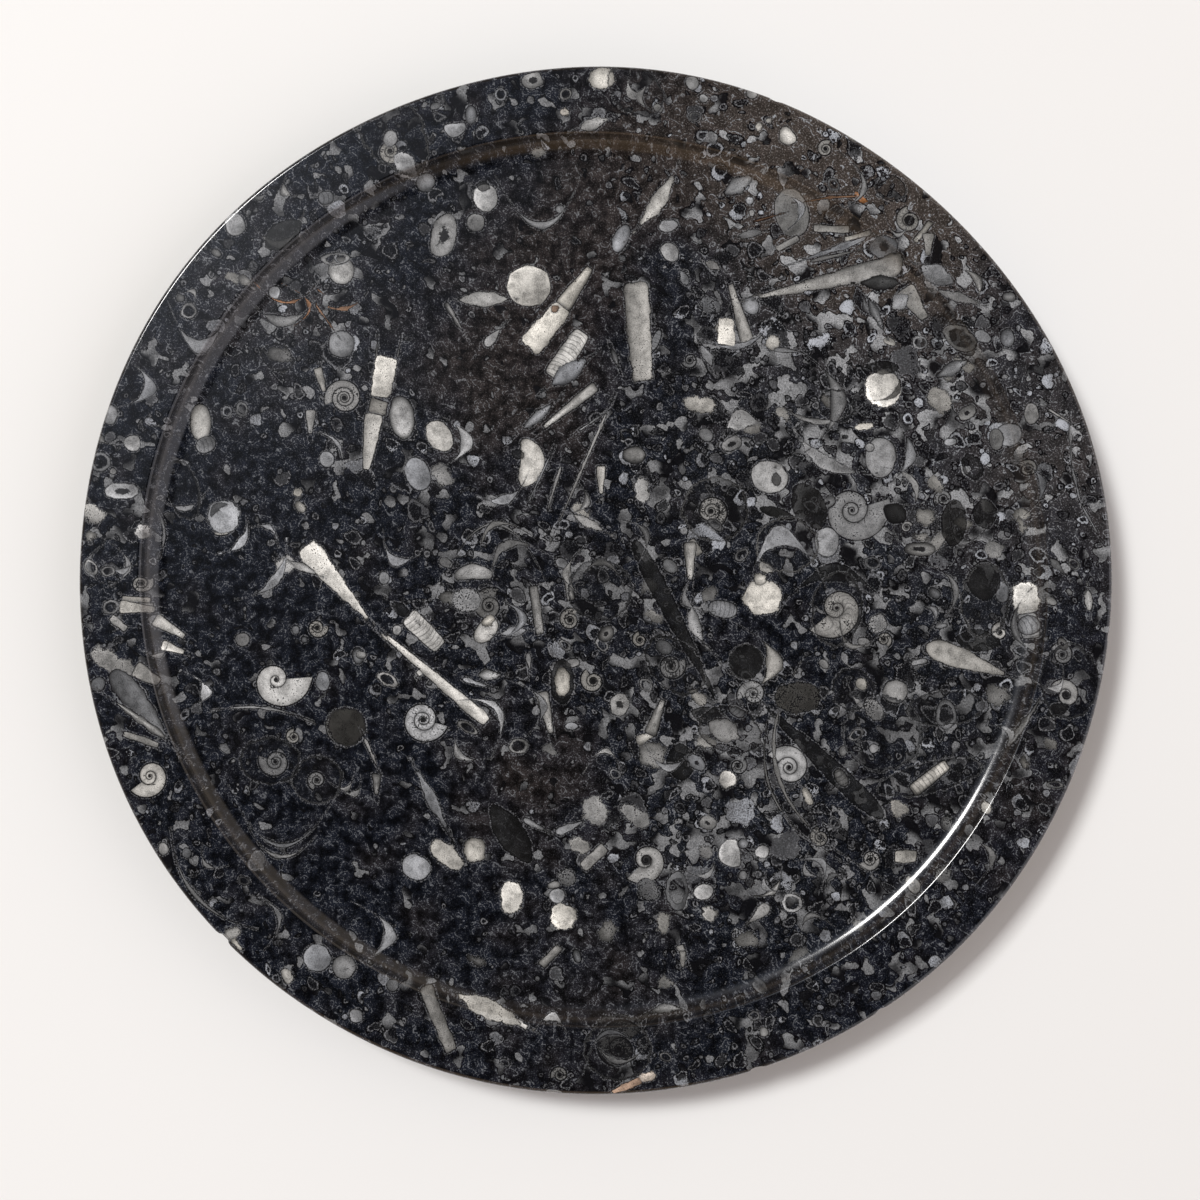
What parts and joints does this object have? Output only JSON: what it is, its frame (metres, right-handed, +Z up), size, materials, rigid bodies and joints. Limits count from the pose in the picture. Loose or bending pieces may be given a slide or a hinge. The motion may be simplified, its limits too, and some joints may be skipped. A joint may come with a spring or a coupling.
{
  "type": "ammonite fossil plate",
  "caption": "Round shallow plate cut from one slab of polished black fossil limestone, with a flat raised rim and a recessed floor full of pale shells.",
  "frame": {"origin": "centre of the flat base, on the surface the plate rests on", "axes": "+Z up through the middle of the plate; +X is the picture's right and +Y is the picture's top"},
  "size_m": [0.3006, 0.2994, 0.018],
  "materials": {
    "fossil_stone": "polished"
  },
  "bodies": {
    "root": {"fossil_plate": "fossil_stone"}
  },
  "joints": []
}
